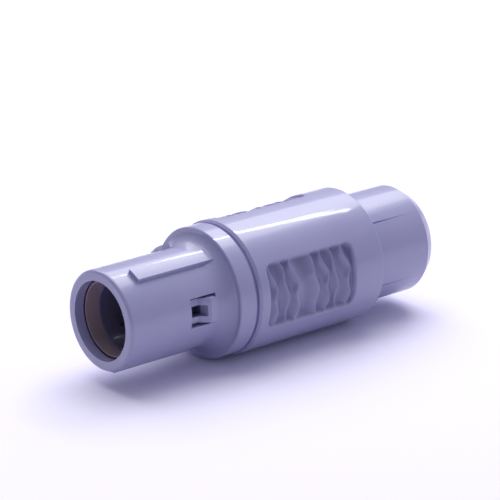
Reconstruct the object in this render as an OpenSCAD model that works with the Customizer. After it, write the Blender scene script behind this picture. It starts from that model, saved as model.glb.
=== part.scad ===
// Push-pull circular cable plug with a moulded release shell.
// The plug is drawn with the mating end at s = 0 and s running along the axis to
// the cable end, and stand_up() then stands it on its nut with the nose on top.

/* [Insert] */
// Radius of the insulator's front barrel
insulator_r = 3.46; // [3.3:0.02:3.7]
// Height of the step that holds the insulator in the latch sleeve
insulator_step = 0.42; // [0.3:0.02:0.6]
// Distance from the nose tip to the insulator's front face
insulator_front = 8.5; // [7.8:0.1:9.2]
// Distance from the nose tip to the insulator's step
insulator_shoulder = 12.1; // [11.6:0.1:12.8]
// Length of the insulator
insulator_len = 6.4; // [6:0.1:7.2]
// Thickness of the insulator's front wall, which the pins pass through
insulator_web = 1.2; // [0.8:0.1:2]
// Width of the insulator's locating key
key_w = 0.9; // [0.6:0.1:1.2]
// Height of the insulator's locating key
key_h = 0.4; // [0.2:0.05:0.5]
// Distance of the key from the ends of the insulator's thick part
key_inset = 0.4; // [0.2:0.1:0.8]

/* [Contacts] */
// Radius of a contact pin
pin_r = 0.25; // [0.2:0.01:0.28]
// Distance from the nose tip to the pin tips
pin_recess = 4.6; // [4.5:0.1:6]
// Radius of a contact's shank and solder cup
shank_r = 0.42; // [0.36:0.01:0.45]
// Length of solder cup behind the insulator
cup_len = 3.4; // [2.5:0.1:4.5]
// Wall of the solder cup
cup_wall = 0.12; // [0.08:0.01:0.16]
// Radius of the outer ring of contacts
outer_ring_r = 2.6; // [2.5:0.02:2.7]
// Radius of the inner ring of contacts
inner_ring_r = 1.15; // [1.05:0.02:1.3]

/* [Latch sleeve] */
// Wall of the latch sleeve's front tube
sleeve_wall = 1.16; // [0.9:0.02:1.3]
// Wall of the latch sleeve's rear tube
rear_wall = 0.83; // [0.7:0.01:1]
// Distance from the nose tip to the latch sleeve's rear end
sleeve_rear = 31; // [30.2:0.1:32]
// Length of the guide collar
collar_len = 2; // [1.5:0.1:3]
// Width of a latch finger
finger_w = 2.5; // [2:0.1:2.7]
// Length of the slots that free a latch finger
finger_slot_len = 6; // [4:0.1:6.5]
// Width of the slots that free a latch finger
finger_slot_w = 0.25; // [0.2:0.05:0.35]
// Height that a latch hook stands proud of the nose
hook_proud = 0.47; // [0.3:0.01:0.5]
// Length of the hook's sloping face
hook_ramp = 0.9; // [0.5:0.05:1.1]
// Width of the hole in a latch finger
finger_hole_w = 1.15; // [0.8:0.05:1.3]
// Length of the hole in a latch finger
finger_hole_len = 2.4; // [1.5:0.1:2.6]
// Length of the hook behind that hole
hook_top = 0.95; // [0.7:0.05:1.1]

/* [Front ring] */
// Inner radius of the front ring
ring_bore_r = 3.78; // [3.6:0.02:3.82]
// Wall of the front ring
ring_wall = 0.18; // [0.1:0.02:0.2]
// Height of the front ring above the latch sleeve
ring_stand = 1.15; // [0.8:0.05:1.2]
// Depth of the front ring's seat
ring_seat = 0.4; // [0.2:0.05:0.8]

/* [Outer shell] */
// Wall of the nose
nose_wall = 0.45; // [0.35:0.01:0.6]
// Length of the lip round the nose mouth
lip_len = 1.07; // [0.8:0.01:1.3]
// Width of the lip's front face
lip_w = 1.07; // [0.9:0.01:1.12]
// Rounding of the nose's front edge
nose_edge_r = 0.35; // [0.1:0.05:0.5]
// Distance from the nose tip to the start of the root fillet
fillet_start = 10.6; // [10.2:0.1:10.8]
// Radius of the root fillet
fillet_r = 2; // [1.6:0.1:2.2]
// Step down from the body to the front band
band_step = 0.2; // [0.15:0.05:0.4]
// Height of the front band's flat front face
band_face_h = 0.5; // [0.3:0.05:0.7]
// Distance from the nose tip to the groove behind the front band
groove_at = 14.4; // [14:0.1:15]
// Width of the groove
groove_w = 0.4; // [0.3:0.05:0.6]
// Depth of the groove below the front band
groove_depth = 0.3; // [0.1:0.05:0.4]
// Wall of the body
body_wall = 1.16; // [1:0.01:1.4]
// Length of the outer shell
shell_len = 31.5; // [30.5:0.1:32.5]
// Bevel of the body's two ends
body_bevel = 0.22; // [0.1:0.01:0.3]
// Distance from the nose tip to the step inside the shell
shell_step = 13.5; // [13.1:0.1:14]

/* [Keys and windows] */
// Width of a key rib on the nose
rib_w = 1.55; // [1.2:0.05:1.8]
// Height of a key rib
rib_h = 0.45; // [0.3:0.05:0.6]
// Distance from the nose tip to the main key rib
main_rib_front = 2.4; // [1.5:0.1:4]
// Distance from the nose tip to the second key rib
second_rib_front = 1.2; // [1:0.1:4]
// Angle of the main key rib from the first latch window
main_rib_angle = 60; // [50:1:70]
// Angle of the second key rib from the first latch window
second_rib_angle = -96; // [-100:1:-90]
// Distance from the nose tip to the latch windows
window_front = 7.45; // [7.2:0.05:7.6]
// Length of a latch window
window_len = 3.2; // [3:0.1:3.3]
// Gap between a latch finger and each side of its window
window_gap = 0.25; // [0.15:0.05:0.35]

/* [Grip] */
// Distance from the nose tip to the grip panels
grip_start = 16.1; // [15.6:0.1:17]
// Length of a grip panel
grip_len = 11.5; // [11:0.1:12.5]
// Width of a grip panel
grip_w = 6.8; // [6:0.1:7.4]
// Depth of a grip panel
grip_depth = 0.5; // [0.3:0.05:0.6]
// Corner rounding of a grip panel
grip_corner_r = 0.8; // [0.4:0.1:1.2]
// Height of a grip wave above the floor of its panel
wave_h = 0.28; // [0.15:0.01:0.3]
// Width of a grip wave
wave_w = 0.55; // [0.3:0.05:0.7]
// Spacing of the grip waves
wave_pitch = 1.5; // [1.2:0.05:1.7]
// Number of grip waves
wave_count = 7; // [5:1:7]
// Sideways swing of a grip wave
wave_swing = 0.3; // [0.1:0.05:0.4]
// Length of one swing to and fro
wave_length = 3.6; // [3:0.1:6]

/* [Collet and nut] */
// Gap between the collet's rear end and the floor of the nut
collet_end_gap = 0.7; // [0.4:0.05:1]
// Distance from the nose tip to the front end of the nut
nut_front = 26.5; // [25:0.1:28]
// Wall of the nut over the thread
nut_wall = 0.92; // [0.8:0.01:1.1]
// Length of the nut's sloping rear end
nut_end_len = 1.2; // [0.8:0.1:1.4]
// Drop of the nut's sloping rear end
nut_end_drop = 0.7; // [0.4:0.05:0.9]
// Radius of the cable hole
cable_hole_r = 3.3; // [3:0.05:3.5]
// Length of the cable hole
cable_hole_len = 2.6; // [2:0.1:3]
// Bevel of the cable hole
cable_bevel = 0.3; // [0.1:0.05:0.5]
// Number of fine grooves along the nut
nut_grooves = 5; // [3:1:6]
// Length of a nut groove
nut_groove_len = 11; // [9:0.5:11]
// Width of a nut groove at its front end
nut_groove_w = 0.4; // [0.3:0.05:0.6]
// Depth of a nut groove at its front end
nut_groove_depth = 0.4; // [0.2:0.05:0.5]
// Angle of the first nut groove from the first latch window
nut_groove_angle = 41.5; // [35:0.5:50]
// Inner radius of the collet
collet_bore_r = 2.6; // [2.3:0.05:2.9]
// Length of the collet
collet_len = 9.15; // [8.6:0.05:9.4]
// Length of the collet's plain stem
collet_stem = 5.45; // [5:0.05:5.8]
// Drop of the collet's cone towards its rear end
cone_drop = 0.7; // [0.4:0.05:0.9]
// Number of slots in the collet
collet_slots = 6; // [4:1:8]
// Width of a collet slot
collet_slot_w = 0.45; // [0.3:0.05:0.6]

/* [Insert carriers] */
// Wall of the two insert carrier halves
carrier_wall = 0.8; // [0.6:0.05:1]
// Length of the insert carrier halves
carrier_len = 12.6; // [12:0.05:13]
// Length of the tongue that keys the carrier halves together
tongue_len = 2.4; // [1.5:0.1:4]

/* [Fits and travel] */
// Distance that the shell slides back to release the latches
release_travel = 1.2; // [0.8:0.05:1.25]
// Radial gap of the sliding and turning fits
run_gap = 0.05; // [0.03:0.01:0.08]
// Radial gap of the seated pieces
seat_gap = 0.03; // [0.02:0.01:0.05]
// Radial gap between the nut and the shell
nut_gap = 0.13; // [0.1:0.01:0.2]
// Gap left at an end stop
stop_gap = 0.05; // [0.03:0.01:0.1]

/* [Hidden] */
$fn = 96;
// Amount that a cutter runs past the face it opens
past = 1;
latch_count = 3;
outer_contacts = 9;
inner_contacts = 5;
shell_grey = [0.56, 0.54, 0.69];
ring_tan = [0.42, 0.33, 0.30];
insert_dark = [0.13, 0.13, 0.22];
gold = [0.86, 0.68, 0.32];
carrier_white = [0.86, 0.85, 0.82];

// Radii, worked outwards from the insert to the body
insert_bore_r = insulator_r + seat_gap;
sleeve_r = insert_bore_r + sleeve_wall;
nose_bore_r = sleeve_r + run_gap;
nose_r = nose_bore_r + nose_wall;
mouth_r = nose_r - lip_w;
shoulder_r = insulator_r + insulator_step;
rear_bore_r = shoulder_r + seat_gap;
thread_r = rear_bore_r + rear_wall;
nut_bore_r = thread_r + run_gap;
nut_r = nut_bore_r + nut_wall;
shell_bore_r = nut_r + nut_gap;
collar_r = shell_bore_r - run_gap;
body_r = shell_bore_r + body_wall;
band_r = body_r - band_step;
groove_r = band_r - groove_depth;
nut_end_r = nut_r - nut_end_drop;
hook_r = nose_r + hook_proud;
ring_r = ring_bore_r + ring_wall;
hole_r = shank_r + seat_gap;

// Stations along the axis, measured from the nose tip
sleeve_front = lip_len + release_travel + stop_gap;
ring_front = sleeve_front - ring_stand;
window_rear = window_front + window_len;
window_w = finger_w + 2 * window_gap;
ramp_start = window_front + release_travel + stop_gap;
hook_rear = window_rear - 2 * stop_gap - finger_slot_w;
web_rear = insulator_front + insulator_web;
insulator_rear = insulator_front + insulator_len;
collar_front = shell_step + release_travel + stop_gap;
carrier_rear = insulator_rear + carrier_len;
collet_front = carrier_rear + stop_gap;
collet_rear = collet_front + collet_len;
cone_start = collet_front + collet_stem;
nut_inner_end = collet_rear + collet_end_gap;
overall_len = nut_inner_end + cable_hole_len;
cone_r = nut_bore_r - 2 * run_gap;

// The root fillet ends at the foot of the band's front face
edge_bevel = 0.1;
fillet_axis_r = nose_r + fillet_r;
fillet_end_angle = acos((band_r - band_face_h - fillet_axis_r) / fillet_r);
band_front = fillet_start + fillet_r * sin(fillet_end_angle);

// Stands the plug on its nut end, nose up, with the first latch window towards -Y
module stand_up()
    translate([0, 0, overall_len])
        rotate([0, 180, 0])
            rotate([0, 0, -90])
                children();

// Turns a feature drawn on +X to an angle round the plug's axis
module at_angle(a) rotate([0, 0, -a]) children();

// Repeats a feature at every latch, a third of a turn apart
module at_latches()
    for (i = [0 : latch_count - 1])
        at_angle(i * 360 / latch_count) children();

// Revolves a profile of [radius, station] points about the axis
module turned(profile) rotate_extrude() polygon(profile);

// A tube from one station to another
module tube(inner, outer, from, to)
    turned([[inner, from], [outer, from], [outer, to], [inner, to]]);

// A solid bar from one station to another
module bar(radius, from, to)
    translate([0, 0, from]) cylinder(r = radius, h = to - from);

// A block on the +X side: across y, from one radius to another, between two stations
module block(width, inner, outer, from, to)
    translate([inner, -width / 2, from])
        cube([outer - inner, width, to - from]);

// Points on an arc in the [radius, station] plane
function arc(centre, radius, start, end, steps) = [
    for (i = [0 : steps])
        let (a = start + (end - start) * i / steps)
            [centre[0] + radius * cos(a), centre[1] + radius * sin(a)]
];

// ---- outer shell ----

module shell_form()
    turned(concat(
        [[mouth_r, 0]],
        arc([nose_r - nose_edge_r, nose_edge_r], nose_edge_r, -90, 0, 5),
        arc([fillet_axis_r, fillet_start], fillet_r, 180, fillet_end_angle, 8),
        [
            [band_r - edge_bevel, band_front],
            [band_r, band_front + edge_bevel],
            [band_r, groove_at],
            [groove_r, groove_at + groove_w / 4],
            [groove_r, groove_at + groove_w],
            [body_r - body_bevel, groove_at + groove_w],
            [body_r, groove_at + groove_w + body_bevel],
            [body_r, shell_len - body_bevel],
            [body_r - body_bevel, shell_len],
            [shell_bore_r, shell_len],
            [shell_bore_r, shell_step],
            [nose_bore_r, shell_step],
            [nose_bore_r, lip_len],
            [mouth_r, lip_len]
        ]
    ));

// A key rib that runs from its front end back into the root fillet
module key_rib(angle, front)
    at_angle(angle)
        intersection() {
            bar(nose_r + rib_h, front, band_front);
            block(rib_w, nose_bore_r + nose_wall / 2, nose_r + past, front, band_front);
        }

// Rounded outline of a grip panel: x runs up the axis and y runs across
module grip_outline() {
    inset = grip_corner_r;
    square_x = grip_len - 2 * inset;
    square_y = grip_w - 2 * inset;
    translate([inset, -grip_w / 2]) square([square_x, grip_w]);
    translate([0, -square_y / 2]) square([grip_len, square_y]);
    for (x = [inset, grip_len - inset], y = [-square_y / 2, square_y / 2])
        translate([x, y]) circle(r = inset, $fn = 32);
}

// Swing of a wave's centre line at a place across the panel
function swing(y, phase) = wave_swing * sin(360 * y / wave_length + phase);

// One wave: a bent strip right across the panel
module wave_outline(index) {
    steps = 14;
    reach = grip_w / 2 + past;
    phase = (index % 2) * 180;
    middle = grip_len / 2 + (index - (wave_count - 1) / 2) * wave_pitch;
    ys = [for (i = [0 : steps]) -reach + 2 * reach * i / steps];
    polygon(concat(
        [for (y = ys) [middle - wave_w / 2 + swing(y, phase), y]],
        [for (i = [steps : -1 : 0]) [middle + wave_w / 2 + swing(ys[i], phase), ys[i]]]
    ));
}

// Raises an outline drawn on a panel to a radial slab on the +X side
module raise_radially()
    translate([0, 0, grip_start])
        rotate([0, 90, 0])
            rotate([0, 0, 180])
                linear_extrude(body_r + past) children();

module grip_recess()
    difference() {
        intersection() {
            raise_radially() grip_outline();
            tube(body_r - grip_depth, body_r + past, grip_start, grip_start + grip_len);
        }
        grip_waves();
    }

module grip_waves()
    intersection() {
        raise_radially() for (i = [0 : wave_count - 1]) wave_outline(i);
        tube(shell_bore_r + body_wall / 4, body_r - grip_depth + wave_h,
             grip_start, grip_start + grip_len);
    }

module outer_shell()
    color(shell_grey)
        stand_up() {
            difference() {
                union() {
                    shell_form();
                    key_rib(main_rib_angle, main_rib_front);
                    key_rib(second_rib_angle, second_rib_front);
                }
                at_latches()
                    block(window_w, mouth_r, body_r, window_front, window_rear);
                at_latches() grip_recess();
            }
        }

// ---- latch sleeve ----

module sleeve_form()
    turned([
        [ring_r + seat_gap, sleeve_front],
        [sleeve_r, sleeve_front],
        [sleeve_r, collar_front],
        [collar_r, collar_front],
        [collar_r, collar_front + collar_len],
        [thread_r, collar_front + collar_len],
        [thread_r, sleeve_rear],
        [rear_bore_r, sleeve_rear],
        [rear_bore_r, insulator_shoulder],
        [insert_bore_r, insulator_shoulder],
        [insert_bore_r, sleeve_front + ring_seat],
        [ring_r + seat_gap, sleeve_front + ring_seat]
    ]);

// The slot round a latch finger's two sides and its free end
module finger_slot() {
    inner = insert_bore_r / 2;
    outer = hook_r + past;
    end = hook_rear + finger_slot_w;
    for (side = [-1, 1])
        translate([0, side * (finger_w + finger_slot_w) / 2, 0])
            block(finger_slot_w, inner, outer, end - finger_slot_len, end);
    block(finger_w + finger_slot_w, inner, outer, hook_rear, end);
}

// The hook at a finger's free end, a little wide for the slots to trim
module hook()
    intersection() {
        block(finger_w + finger_slot_w, 0, hook_r + past, ramp_start, hook_rear + finger_slot_w);
        turned([
            [sleeve_r - sleeve_wall / 3, ramp_start],
            [sleeve_r, ramp_start],
            [hook_r, ramp_start + hook_ramp],
            [hook_r, hook_rear + finger_slot_w / 2],
            [sleeve_r - sleeve_wall / 3, hook_rear + finger_slot_w / 2]
        ]);
    }

// The hole through a latch finger, in front of the hook's top
module finger_hole() {
    hole_rear = hook_rear - hook_top;
    block(finger_hole_w, insert_bore_r / 2, hook_r + past, hole_rear - finger_hole_len, hole_rear);
}

module latch_sleeve()
    color(shell_grey)
        stand_up() {
            difference() {
                union() {
                    sleeve_form();
                    at_latches() hook();
                }
                at_latches() {
                    finger_slot();
                    finger_hole();
                }
                keyway();
            }
        }

// ---- front ring ----

module front_ring()
    color(ring_tan)
        stand_up()
            tube(ring_bore_r, ring_r, ring_front, sleeve_front + ring_seat);

// ---- insert ----

// The locating key on the insulator's thick end, in line with the main key rib
module insulator_key()
    at_angle(main_rib_angle)
        block(key_w, insulator_r, shoulder_r + key_h,
              insulator_shoulder + key_inset, insulator_rear - key_inset);

// The keyway that it slides up, open at the latch sleeve's rear end
module keyway()
    at_angle(main_rib_angle)
        block(key_w + 2 * seat_gap, insulator_r, shoulder_r + key_h + seat_gap,
              insulator_shoulder + key_inset - seat_gap, sleeve_rear + past);

// Place of a contact in the two rings, counted round the outer one first
function contact_place(index) =
    index < outer_contacts
        ? [outer_ring_r, index * 360 / outer_contacts]
        : [inner_ring_r, (index - outer_contacts) * 360 / inner_contacts];

module at_contact(index) {
    place = contact_place(index);
    at_angle(place[1]) translate([place[0], 0, 0]) children();
}

module insulator()
    color(insert_dark)
        stand_up()
            difference() {
                union() {
                    bar(insulator_r, insulator_front, insulator_rear);
                    bar(shoulder_r, insulator_shoulder, insulator_rear);
                    insulator_key();
                }
                for (i = [0 : outer_contacts + inner_contacts - 1])
                    at_contact(i) {
                        bar(pin_r + seat_gap, insulator_front - past, insulator_rear);
                        bar(hole_r, web_rear, insulator_rear + past);
                    }
            }

// A pin with a tapered tip, a shank and an open solder cup
module contact(index) {
    tip = pin_r / 2;
    cup_rear = insulator_rear + cup_len;
    cup_r = shank_r - cup_wall;
    color(gold)
        stand_up()
            at_contact(index)
                difference() {
                    turned([
                        [0, pin_recess],
                        [tip, pin_recess],
                        [pin_r, pin_recess + tip],
                        [pin_r, web_rear],
                        [shank_r, web_rear],
                        [shank_r, cup_rear],
                        [0, cup_rear]
                    ]);
                    bar(cup_r, cup_rear - cup_len * 0.7, cup_rear + past);
                    block(2 * shank_r + past, cup_r / 2, shank_r + past,
                          cup_rear - cup_len * 0.6, cup_rear + past);
                }
}

// ---- insert carriers ----

// Half of the split tube that presses the insulator against its step
module carrier_half()
    intersection() {
        tube(shoulder_r - carrier_wall, shoulder_r, insulator_rear, carrier_rear);
        translate([0, -shoulder_r - past, insulator_rear])
            cube([shoulder_r + past, 2 * (shoulder_r + past), carrier_len]);
    }

// The tongue of one half, and with a gap its slot in the other half
module carrier_tongue(side, gap) {
    middle = (insulator_rear + carrier_rear) / 2;
    thick = carrier_wall / 3;
    at_radius = shoulder_r - carrier_wall / 2;
    translate([-thick - gap, side * at_radius - thick / 2 - gap, middle - tongue_len / 2 - gap])
        cube([2 * thick + gap, thick + 2 * gap, tongue_len + 2 * gap]);
}

module insert_carrier_upper()
    color(carrier_white)
        stand_up()
            at_angle(90) {
                carrier_half();
                for (side = [-1, 1]) carrier_tongue(side, 0);
            }

module insert_carrier_lower()
    color(carrier_white)
        stand_up()
            at_angle(90)
                difference() {
                    rotate([0, 0, 180]) carrier_half();
                    for (side = [-1, 1]) carrier_tongue(side, seat_gap);
                }

// ---- collet and nut ----

module cable_collet()
    color(carrier_white)
        stand_up()
            difference() {
                turned([
                    [collet_bore_r, collet_front],
                    [shoulder_r, collet_front],
                    [shoulder_r, cone_start],
                    [cone_r, cone_start],
                    [cone_r - cone_drop, collet_rear],
                    [collet_bore_r, collet_rear]
                ]);
                for (i = [0 : collet_slots - 1])
                    at_angle(i * 360 / collet_slots)
                        block(collet_slot_w, collet_bore_r / 2, cone_r + past,
                              collet_front + collet_stem / 2, collet_rear + past);
            }

module nut_form()
    turned([
        [nut_bore_r, nut_front],
        [nut_r - body_bevel, nut_front],
        [nut_r, nut_front + body_bevel],
        [nut_r, overall_len - nut_end_len],
        [nut_end_r, overall_len - edge_bevel],
        [nut_end_r - edge_bevel, overall_len],
        [cable_hole_r + cable_bevel, overall_len],
        [cable_hole_r, overall_len - cable_bevel],
        [cable_hole_r, nut_inner_end],
        [cone_r - cone_drop + run_gap, nut_inner_end],
        [cone_r - cone_drop + run_gap, collet_rear],
        [cone_r + run_gap, cone_start],
        [nut_bore_r, cone_start]
    ]);

// A fine V groove that gets shallower and narrower towards the rear end of the nut
module nut_groove() {
    lean = atan(nut_groove_depth / nut_groove_len);
    side = past * nut_groove_w / (2 * nut_groove_depth);
    translate([nut_r - nut_groove_depth, 0, nut_front])
        rotate([0, lean, 0])
            translate([0, 0, -past])
                linear_extrude(nut_groove_len + 2 * past)
                    polygon([[0, 0], [past, -side], [past, side]]);
}

module collet_nut()
    color(shell_grey)
        stand_up()
            difference() {
                nut_form();
                for (i = [0 : nut_grooves - 1])
                    at_angle(nut_groove_angle + i * 360 / nut_grooves) nut_groove();
            }

outer_shell();
latch_sleeve();
front_ring();
insulator();
insert_carrier_upper();
insert_carrier_lower();
cable_collet();
collet_nut();
contact(0);  // contact_01
contact(1);  // contact_02
contact(2);  // contact_03
contact(3);  // contact_04
contact(4);  // contact_05
contact(5);  // contact_06
contact(6);  // contact_07
contact(7);  // contact_08
contact(8);  // contact_09
contact(9);  // contact_10
contact(10);  // contact_11
contact(11);  // contact_12
contact(12);  // contact_13
contact(13);  // contact_14
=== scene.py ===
"""Looks of the push-pull circular plug: mouldings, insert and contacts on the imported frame."""
import math

import bmesh
import bpy
from mathutils import Matrix, Vector


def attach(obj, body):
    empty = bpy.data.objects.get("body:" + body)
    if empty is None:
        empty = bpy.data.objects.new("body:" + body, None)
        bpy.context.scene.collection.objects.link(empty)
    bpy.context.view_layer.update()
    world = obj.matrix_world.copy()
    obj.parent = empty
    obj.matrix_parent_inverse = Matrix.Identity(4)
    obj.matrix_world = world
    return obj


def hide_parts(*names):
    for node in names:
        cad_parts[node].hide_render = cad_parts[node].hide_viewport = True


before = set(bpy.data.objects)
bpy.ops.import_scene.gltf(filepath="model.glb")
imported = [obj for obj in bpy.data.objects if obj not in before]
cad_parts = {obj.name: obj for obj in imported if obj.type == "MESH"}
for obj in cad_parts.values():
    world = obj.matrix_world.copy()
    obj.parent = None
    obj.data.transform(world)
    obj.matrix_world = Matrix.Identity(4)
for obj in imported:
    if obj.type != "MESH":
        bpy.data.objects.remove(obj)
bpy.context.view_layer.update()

MM = 0.001

# ---- sizes of the mouldings, from the part's source; stations are counted from the nose ----

PLUG_LENGTH = 40.0 * MM
BODY_RADIUS = 7.0 * MM
BODY_FRONT = 15.02 * MM
BODY_REAR = 31.28 * MM
GROOVED_RADIUS = 6.14 * MM
GRIP_START = 16.1 * MM
GRIP_LENGTH = 11.5 * MM
GRIP_WIDTH = 6.8 * MM
GRIP_CORNER = 0.8 * MM
LATCH_COUNT = 3
PANEL_DEPTH = 0.14 * MM
SCALLOP_DEPTH = 0.52 * MM
MOUTH_RADIUS = 4.08 * MM
SKIN_DEPTH = 0.04 * MM

# ---- how the plug is set up and seen ----

# The frame stands the plug on its nut. The studio is laid out as for the plug lying on its
# side: x along the plug to the cable end, z up from the sheet it lies on.
LYING_ROLL = math.radians(4.0)
STUDIO = (
    Matrix.Translation((0.0, 0.0, PLUG_LENGTH / 2))
    @ Matrix.Rotation(-LYING_ROLL, 4, "Z")
    @ Matrix.Rotation(math.radians(90.0), 4, "Y")
    @ Matrix.Translation((0.0, 0.0, -BODY_RADIUS)))

VIEW_AZIMUTH = math.radians(-40.2)
VIEW_ELEVATION = math.radians(19.25)
VIEW_DISTANCE = 302.5 * MM
VIEW_TARGET = Vector((-0.76, 0.0, 10.06)) * MM
VIEW_LENS = 214.6


def linear(value):
    """One sRGB channel from 0 to 1 as linear light."""
    if value <= 0.04045:
        return value / 12.92
    return ((value + 0.055) / 1.055) ** 2.4


def colour(hex_code):
    """An sRGB hex code as the linear RGBA that shader sockets take."""
    channels = [int(hex_code[i:i + 2], 16) / 255 for i in (1, 3, 5)]
    return (*[linear(c) for c in channels], 1.0)


# ---- materials ----

# Sockets of a colour Mix node and of a Mix Shader, whose names repeat
MIX_A, MIX_B, MIX_RESULT = 6, 7, 2
SHADER_A, SHADER_B = 1, 2
CLOUD_DETAIL = 3.0
GRAIN_DETAIL = 2.0
CLOUD_LOW, CLOUD_HIGH = 0.3, 0.7
DULLER, SHINIER = 1.15, 0.85
SKIN_ROUGHNESS = 0.06
TURNING_MARK = 0.2 * MM


def start_material(name):
    """A new material with only its output, and the tree to fill."""
    material = bpy.data.materials.new(name)
    material.use_nodes = True
    tree = material.node_tree
    tree.nodes.clear()
    return material, tree


def add_node(tree, kind, settings=None, inputs=None):
    """Adds a node, sets its properties, and sets or links its inputs."""
    node = tree.nodes.new(kind)
    for name, value in (settings or {}).items():
        setattr(node, name, value)
    for name, value in (inputs or {}).items():
        if isinstance(value, bpy.types.NodeSocket):
            tree.links.new(value, node.inputs[name])
        else:
            node.inputs[name].default_value = value
    return node


def clouded_shade(tree, place, shade, light, cloud_mm):
    """Faint clouding where the melt flowed: the colour, and the noise that drives it."""
    cloud = add_node(tree, "ShaderNodeTexNoise", inputs={
        "Vector": place, "Scale": 1 / (cloud_mm * MM), "Detail": CLOUD_DETAIL})
    tint = add_node(tree, "ShaderNodeValToRGB", inputs={"Fac": cloud.outputs["Fac"]})
    stops = tint.color_ramp.elements
    stops[0].position, stops[0].color = CLOUD_LOW, colour(shade)
    stops[1].position, stops[1].color = CLOUD_HIGH, colour(light)
    return tint.outputs["Color"], cloud.outputs["Fac"]


def from_axis(tree, place):
    """Distance from the plug's axis, and height above the nut's end."""
    parts = add_node(tree, "ShaderNodeSeparateXYZ", inputs={"Vector": place})
    across = add_node(tree, "ShaderNodeCombineXYZ", inputs={
        "X": parts.outputs["X"], "Y": parts.outputs["Y"]})
    radius = add_node(tree, "ShaderNodeVectorMath", {"operation": "LENGTH"}, {
        "Vector": across.outputs["Vector"]}).outputs["Value"]
    return radius, parts.outputs["Z"]


def painted_shade_inside_nose(tree, place):
    """1 on the walls of the nose's cavity, 0 on everything outside it: the mask of a painted shade.
    """
    radius, _ = from_axis(tree, place)
    return add_node(tree, "ShaderNodeMath", {"operation": "LESS_THAN"}, {
        0: radius, 1: MOUTH_RADIUS + SKIN_DEPTH}).outputs["Value"]


def painted_shade_in_grips(tree, place):
    """Rises from 0 on the crests of the grips to 1 at the bottom of their scallops: the mask of a
    painted shade.
    """
    radius, height = from_axis(tree, place)
    depth = add_node(tree, "ShaderNodeMapRange", inputs={
        "Value": radius, "From Min": BODY_RADIUS - PANEL_DEPTH - SCALLOP_DEPTH,
        "From Max": BODY_RADIUS - PANEL_DEPTH / 2, "To Min": 1.0, "To Max": 0.0}).outputs["Result"]
    middle = PLUG_LENGTH - GRIP_START - GRIP_LENGTH / 2
    beside = add_node(tree, "ShaderNodeMath", {"operation": "COMPARE"}, {
        0: height, 1: middle, 2: GRIP_LENGTH / 2}).outputs["Value"]
    return add_node(tree, "ShaderNodeMath", {"operation": "MULTIPLY"}, {
        0: depth, 1: beside}).outputs["Value"]


def moulded_plastic(name, shade, light, ior, roughness, grain_mm, grain_depth_mm, cloud_mm,
                    coat=0.0, second=None, where=None):
    """An injection-moulded plastic: fine tool texture, faint clouding, and a polished skin.
    A second colour can take over where a mask says."""
    material, tree = start_material(name)
    place = add_node(tree, "ShaderNodeTexCoord").outputs["Object"]
    base, cloud = clouded_shade(tree, place, shade, light, cloud_mm)
    if where:
        base = add_node(tree, "ShaderNodeMix", {"data_type": "RGBA"}, {
            "Factor": where(tree, place), MIX_A: base, MIX_B: colour(second)}).outputs[MIX_RESULT]
    grain = add_node(tree, "ShaderNodeTexNoise", inputs={
        "Vector": place, "Scale": 1 / (grain_mm * MM), "Detail": GRAIN_DETAIL})
    sheen_spread = add_node(tree, "ShaderNodeMapRange", inputs={
        "Value": cloud, "To Min": roughness * SHINIER, "To Max": roughness * DULLER})
    bump = add_node(tree, "ShaderNodeBump", inputs={
        "Height": grain.outputs["Fac"], "Distance": grain_depth_mm * MM, "Strength": 1.0})
    skin = add_node(tree, "ShaderNodeBsdfPrincipled", inputs={
        "Base Color": base, "Roughness": sheen_spread.outputs["Result"],
        "Normal": bump.outputs["Normal"], "IOR": ior,
        "Coat Weight": coat, "Coat Roughness": SKIN_ROUGHNESS})
    add_node(tree, "ShaderNodeOutputMaterial", inputs={"Surface": skin.outputs["BSDF"]})
    return material


def plated_gold(name):
    """Gold plate over turned brass: bright, with fine turning marks round the pin."""
    material, tree = start_material(name)
    place = add_node(tree, "ShaderNodeTexCoord").outputs["Object"]
    marks = add_node(tree, "ShaderNodeTexNoise", inputs={
        "Vector": place, "Scale": 1 / TURNING_MARK, "Detail": GRAIN_DETAIL})
    spread = add_node(tree, "ShaderNodeMapRange", inputs={
        "Value": marks.outputs["Fac"], "To Min": 0.2, "To Max": 0.34})
    skin = add_node(tree, "ShaderNodeBsdfPrincipled", inputs={
        "Base Color": colour("#E8C06A"), "Metallic": 1.0, "Roughness": spread.outputs["Result"]})
    add_node(tree, "ShaderNodeOutputMaterial", inputs={"Surface": skin.outputs["BSDF"]})
    return material


# Polysulfone from a polished tool: a satin grey-lavender body under a thin glossy skin, which
# gives a soft broad sheen with a sharp streak in it. The tool's grain is about 0.03 mm, and it is
# drawn four times as coarse so that it shows.
POLYSULFONE = {
    "shade": "#A19FCA", "light": "#A8A6D1", "ior": 1.63, "roughness": 0.34,
    "grain_mm": 0.12, "grain_depth_mm": 0.0012, "cloud_mm": 9.0, "coat": 0.5}
shell_polysulfone = moulded_plastic("moulded_polysulfone", **POLYSULFONE)
# The same moulding on the body, with a painted shade that darkens the bottom of its scallops
grip_polysulfone = moulded_plastic(
    "moulded_polysulfone_grips_painted_shade", second="#7E7AA8", where=painted_shade_in_grips, **POLYSULFONE)
# The same moulding on the latch sleeve, with a painted shade that darkens the walls of the deep
# cavity
latch_polysulfone = moulded_plastic(
    "moulded_polysulfone_latch_painted_shade", second="#66648A", where=painted_shade_inside_nose, **POLYSULFONE)

# Unpolished tools leave a coarser grain, about 0.05 mm, drawn three times as coarse here
MATT_GRAIN = {"grain_mm": 0.15, "grain_depth_mm": 0.002, "cloud_mm": 4.0}
# PEEK, coloured nearly black with a blue cast: a painted shade for the even floor behind the pins,
# deep in the mouth
insulator_peek_painted_shade = moulded_plastic(
    "moulded_peek_painted_shade", "#3A3A55", "#40405C", ior=1.6, roughness=0.45, **MATT_GRAIN)
# Tan PEEK: a warm band inside the mouth
ring_tan = moulded_plastic(
    "moulded_tan_ring", "#A08E98", "#A8949C", ior=1.6, roughness=0.4, **MATT_GRAIN)
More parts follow.
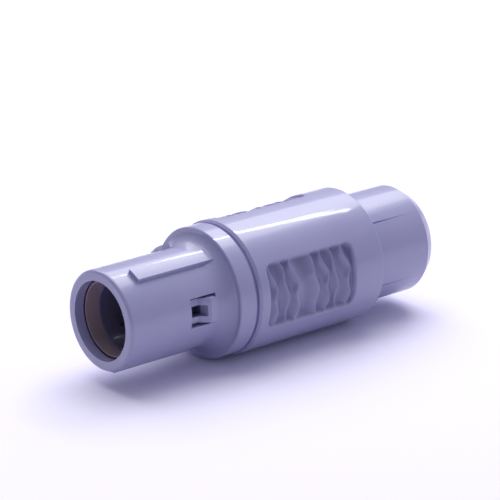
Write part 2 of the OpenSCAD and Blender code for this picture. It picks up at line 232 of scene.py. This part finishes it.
# Unfilled nylon: off-white and a little waxy
natural_nylon = moulded_plastic(
    "moulded_natural_nylon", "#CFCCC6", "#D8D5CE", ior=1.53, roughness=0.4, **MATT_GRAIN)
gold_plate = plated_gold("gold_plated_brass")

FINISHES = {
    "outer_shell": shell_polysulfone,
    "latch_sleeve": latch_polysulfone,
    "collet_nut": shell_polysulfone,
    "front_ring": ring_tan,
    "insulator": insulator_peek_painted_shade,
    "insert_carrier_upper": natural_nylon,
    "insert_carrier_lower": natural_nylon,
    "cable_collet": natural_nylon,
}

for name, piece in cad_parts.items():
    piece.data.materials.clear()
    piece.data.materials.append(FINISHES.get(name, gold_plate))

# ---- outer shell with its scalloped grips ----

# Where the crests between scallops meet the panel's upper edge, from its front end
CRESTS = [c * MM for c in (0.55, 1.98, 3.3, 5.9, 7.4, 8.5, 10.2)]
CREST_DRIFT = 0.5 * MM
CREST_ZIGZAG = 0.2 * MM
ZIGZAG_LENGTH = 3.1 * MM
PANEL_WALL = 0.2 * MM
MESH_STEP = 0.1 * MM
PLAIN_STEPS = 10
PANEL_MARGIN = 0.15 * MM
SEAM_WIDTH = 0.06 * MM
SAME_POINT = 1e-7
SLACK = 0.1 * MM
KEPT_NORMAL = "kept_normal"


def ease(t):
    """0 to 1 with a soft start and end."""
    t = min(max(t, 0.0), 1.0)
    return t * t * (3 - 2 * t)


def scallop(along, down):
    """Depth of the scallop at a place on a panel, from 0 at a crest to 1 in a valley."""
    crests = [-GRIP_CORNER]
    for index, start in enumerate(CRESTS):
        side = 1 if index % 2 else -1
        swing = math.sin(2 * math.pi * down / ZIGZAG_LENGTH)
        drift = CREST_DRIFT * ease(down / (GRIP_WIDTH / 2))
        crests.append(start + drift + side * CREST_ZIGZAG * swing)
    crests.append(GRIP_LENGTH + GRIP_CORNER)
    for low, high in zip(crests, crests[1:]):
        if low <= along <= high:
            return 1 - abs(2 * (along - low) / (high - low) - 1) ** 2
    return 0.0


def panel_inset(along, across):
    """How far a place lies inside the panel's rounded outline; negative outside it."""
    beyond_x = abs(along - GRIP_LENGTH / 2) - (GRIP_LENGTH / 2 - GRIP_CORNER)
    beyond_y = abs(across) - (GRIP_WIDTH / 2 - GRIP_CORNER)
    outside = math.hypot(max(beyond_x, 0.0), max(beyond_y, 0.0))
    return GRIP_CORNER - outside - min(max(beyond_x, beyond_y), 0.0)


def grip_depth_at(station, turn):
    """How far the grips cut into the body at a distance from the nose and a turn from a panel."""
    along = station - GRIP_START
    across = BODY_RADIUS * math.sin(turn)
    inset = panel_inset(along, across)
    if inset <= 0:
        return 0.0
    wall = ease(inset / PANEL_WALL)
    return wall * (PANEL_DEPTH + SCALLOP_DEPTH * scallop(along, GRIP_WIDTH / 2 - across))


def body_stations():
    """Rings of the body's skin: close together over the panels, and one near each end."""
    front, rear = GRIP_START - PANEL_MARGIN, GRIP_START + GRIP_LENGTH + PANEL_MARGIN
    count = round((rear - front) / MESH_STEP)
    panel = [front + (rear - front) * i / count for i in range(count + 1)]
    return [BODY_FRONT + SEAM_WIDTH] + panel + [BODY_REAR - SEAM_WIDTH]


def body_turns():
    """Columns of the body's skin: each as its angle and its turn from the nearest panel."""
    half_panel = math.asin((GRIP_WIDTH / 2 + PANEL_MARGIN) / BODY_RADIUS)
    pitch = 2 * math.pi / LATCH_COUNT
    fine = round(2 * half_panel * BODY_RADIUS / MESH_STEP)
    columns = []
    for latch in range(LATCH_COUNT):
        middle = latch * pitch
        for i in range(fine):
            turn = -half_panel + 2 * half_panel * i / fine
            columns.append((middle + turn, turn))
        for i in range(PLAIN_STEPS):
            turn = half_panel + (pitch - 2 * half_panel) * i / PLAIN_STEPS
            columns.append((middle + turn, turn))
    return columns


def on_body(vertex):
    """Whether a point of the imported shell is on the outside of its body."""
    station = PLUG_LENGTH - vertex.co.z
    return (BODY_FRONT - SLACK < station < BODY_REAR + SLACK
            and math.hypot(vertex.co.x, vertex.co.y) > GROOVED_RADIUS)


def shell_without_skin(solid):
    """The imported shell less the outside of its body, with its corner normals kept in a layer."""
    shape = bmesh.new()
    shape.from_mesh(solid)
    kept_normal = shape.loops.layers.float_vector.new(KEPT_NORMAL)
    loops = (loop for face in shape.faces for loop in face.loops)
    for loop, corner in zip(loops, solid.corner_normals):
        loop[kept_normal] = corner.vector
    bmesh.ops.remove_doubles(shape, verts=shape.verts, dist=SAME_POINT)
    old_skin = [face for face in shape.faces if all(on_body(v) for v in face.verts)]
    bmesh.ops.delete(shape, geom=old_skin, context="FACES")
    return shape


def add_skin(shape):
    """A fine grid round the body, cut by the grips; returns its rings of points."""
    rings = []
    columns = body_turns()
    for station in body_stations():
        ring = []
        for angle, turn in columns:
            radius = BODY_RADIUS - grip_depth_at(station, turn)
            ring.append(shape.verts.new((
                radius * math.sin(angle), -radius * math.cos(angle), PLUG_LENGTH - station)))
        rings.append(ring)
    for front, rear in zip(rings, rings[1:]):
        for i in range(len(columns)):
            j = (i + 1) % len(columns)
            shape.faces.new((front[i], rear[i], rear[j], front[j]))
    return rings


def close_seam(shape, rims, ring, station):
    """Joins an end ring of the skin to the rim that the old skin left at a station."""
    edges = [shape.edges.get((ring[i], ring[i - 1])) for i in range(len(ring))]
    near = [edge for edge in rims if abs(PLUG_LENGTH - edge.verts[0].co.z - station) < SLACK]
    bmesh.ops.bridge_loops(shape, edges=edges + near)


def add_dressed_shell():
    """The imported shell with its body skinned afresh, so that the grips have soft scallops."""
    shape = shell_without_skin(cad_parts["outer_shell"].data)
    rims = [edge for edge in shape.edges if len(edge.link_faces) == 1]
    rings = add_skin(shape)
    close_seam(shape, rims, rings[0], BODY_FRONT)
    close_seam(shape, rims, rings[-1], BODY_REAR)
    bmesh.ops.recalc_face_normals(shape, faces=shape.faces)

    mesh = bpy.data.meshes.new("shell_with_grips")
    shape.to_mesh(mesh)
    shape.free()
    mesh.shade_smooth()
    kept = mesh.attributes[KEPT_NORMAL]
    # A new face has no kept normal, and its zero leaves Blender to work one out
    mesh.normals_split_custom_set([Vector(corner.vector) for corner in kept.data])
    mesh.attributes.remove(kept)
    mesh.materials.append(grip_polysulfone)
    shell = bpy.data.objects.new("shell_with_grips", mesh)
    bpy.context.scene.collection.objects.link(shell)
    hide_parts("outer_shell")
    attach(shell, "shell")


add_dressed_shell()

# ---- floor, lights and camera ----

SHEET_REACH = 1500 * MM
# What the sheet throws back, and what the eye and the gloss see of it
SHEET_BOUNCE = colour("#D4D2E2")
SHEET_SEEN = (0.99, 0.96, 1.15, 1.0)
WHITE = (1.0, 1.0, 1.0, 1.0)
FILL = colour("#E4E4F4")
FILL_AT_NOSE = 0.2
FILL_AT_CABLE = 0.68
CAMERA_NEAR = 10 * MM

# Lamps as name, place, width and length in mm, and watts: a broad box over the plug and two
# thin strips, which draw the bright streaks along the body
LAMPS = (
    ("top_box", (70, 115, 300), (380, 420), 1.18),
    ("streak_near", (185, 50, 235), (90, 3), 0.035),
    ("streak_far", (170, 90, 232), (90, 3), 0.03),
)
LAMP_AIM_MM = (0, 0, 7)


def floor_material():
    """Matt white paper: pale grey to the light it bounces, white to the eye and to gloss.
    From behind it is clear, so that the plug is seen from every side."""
    material, tree = start_material("studio_sweep_paper")
    ray = add_node(tree, "ShaderNodeLightPath").outputs
    seen = add_node(tree, "ShaderNodeMath", {"operation": "MAXIMUM"}, {
        0: ray["Is Camera Ray"], 1: ray["Is Glossy Ray"]}).outputs["Value"]
    shade = add_node(tree, "ShaderNodeMix", {"data_type": "RGBA"}, {
        "Factor": seen, MIX_A: SHEET_BOUNCE, MIX_B: SHEET_SEEN})
    matt = add_node(tree, "ShaderNodeBsdfDiffuse", inputs={"Color": shade.outputs[MIX_RESULT]})
    clear = add_node(tree, "ShaderNodeBsdfTransparent")
    side = add_node(tree, "ShaderNodeNewGeometry").outputs["Backfacing"]
    sheet = add_node(tree, "ShaderNodeMixShader", inputs={
        "Fac": side, SHADER_A: matt.outputs["BSDF"], SHADER_B: clear.outputs["BSDF"]})
    add_node(tree, "ShaderNodeOutputMaterial", inputs={"Surface": sheet.outputs["Shader"]})
    return material


def add_floor():
    """The pale sheet that the plug lies on, far wider than the view."""
    mesh = bpy.data.meshes.new("sheet")
    signs = ((-1, -1), (1, -1), (1, 1), (-1, 1))
    corners = [(x * SHEET_REACH, y * SHEET_REACH, 0) for x, y in signs]
    mesh.from_pydata(corners, [], [(0, 1, 2, 3)])
    floor = bpy.data.objects.new("sheet", mesh)
    floor.matrix_world = STUDIO
    bpy.context.scene.collection.objects.link(floor)
    floor.data.materials.append(floor_material())


def add_softbox(name, place_mm, size_mm, power):
    """A rectangular white softbox at a place, turned to the plug."""
    light = bpy.data.lights.new(name, "AREA")
    light.shape = "RECTANGLE"
    light.size = size_mm[0] * MM
    light.size_y = size_mm[1] * MM
    light.energy = power
    lamp = bpy.data.objects.new(name, light)
    bpy.context.scene.collection.objects.link(lamp)
    place = Vector(place_mm) * MM
    aim = Vector(LAMP_AIM_MM) * MM
    turn = (aim - place).to_track_quat("-Z", "Y").to_matrix().to_4x4()
    lamp.matrix_world = STUDIO @ Matrix.Translation(place) @ turn


def add_world():
    """Soft light from all round, weaker on the nose's side, and white behind the floor."""
    world = bpy.data.worlds.new("studio")
    bpy.context.scene.world = world
    world.use_nodes = True
    tree = world.node_tree
    tree.nodes.clear()
    seen = add_node(tree, "ShaderNodeLightPath").outputs["Is Camera Ray"]
    heading = add_node(tree, "ShaderNodeTexCoord").outputs["Generated"]
    towards_cable = STUDIO.to_3x3() @ Vector((1.0, 0.0, 0.0))
    along = add_node(tree, "ShaderNodeVectorMath", {"operation": "DOT_PRODUCT"}, {
        0: heading, 1: towards_cable})
    level = add_node(tree, "ShaderNodeMapRange", inputs={
        "Value": along.outputs["Value"], "From Min": -1.0, "From Max": 1.0,
        "To Min": FILL_AT_NOSE, "To Max": FILL_AT_CABLE})
    around = add_node(tree, "ShaderNodeBackground", inputs={
        "Color": FILL, "Strength": level.outputs["Result"]})
    behind = add_node(tree, "ShaderNodeBackground", inputs={"Color": WHITE, "Strength": 1.0})
    either = add_node(tree, "ShaderNodeMixShader", inputs={
        "Fac": seen, SHADER_A: around.outputs["Background"], SHADER_B: behind.outputs["Background"]})
    add_node(tree, "ShaderNodeOutputWorld", inputs={"Surface": either.outputs["Shader"]})


def add_camera():
    """A long lens, a little above the plug, with its nose to the left."""
    camera = bpy.data.objects.new("camera", bpy.data.cameras.new("camera"))
    bpy.context.scene.collection.objects.link(camera)
    camera.data.lens = VIEW_LENS
    camera.data.clip_start = CAMERA_NEAR
    towards_camera = Vector((
        math.sin(VIEW_AZIMUTH) * math.cos(VIEW_ELEVATION),
        -math.cos(VIEW_AZIMUTH) * math.cos(VIEW_ELEVATION),
        math.sin(VIEW_ELEVATION)))
    place = VIEW_TARGET + towards_camera * VIEW_DISTANCE
    turn = towards_camera.to_track_quat("Z", "Y").to_matrix().to_4x4()
    camera.matrix_world = STUDIO @ Matrix.Translation(place) @ turn
    bpy.context.scene.camera = camera


add_floor()
add_world()
for name, place_mm, size_mm, power in LAMPS:
    add_softbox(name, place_mm, size_mm, power)
add_camera()
bpy.context.scene.view_settings.view_transform = "Standard"
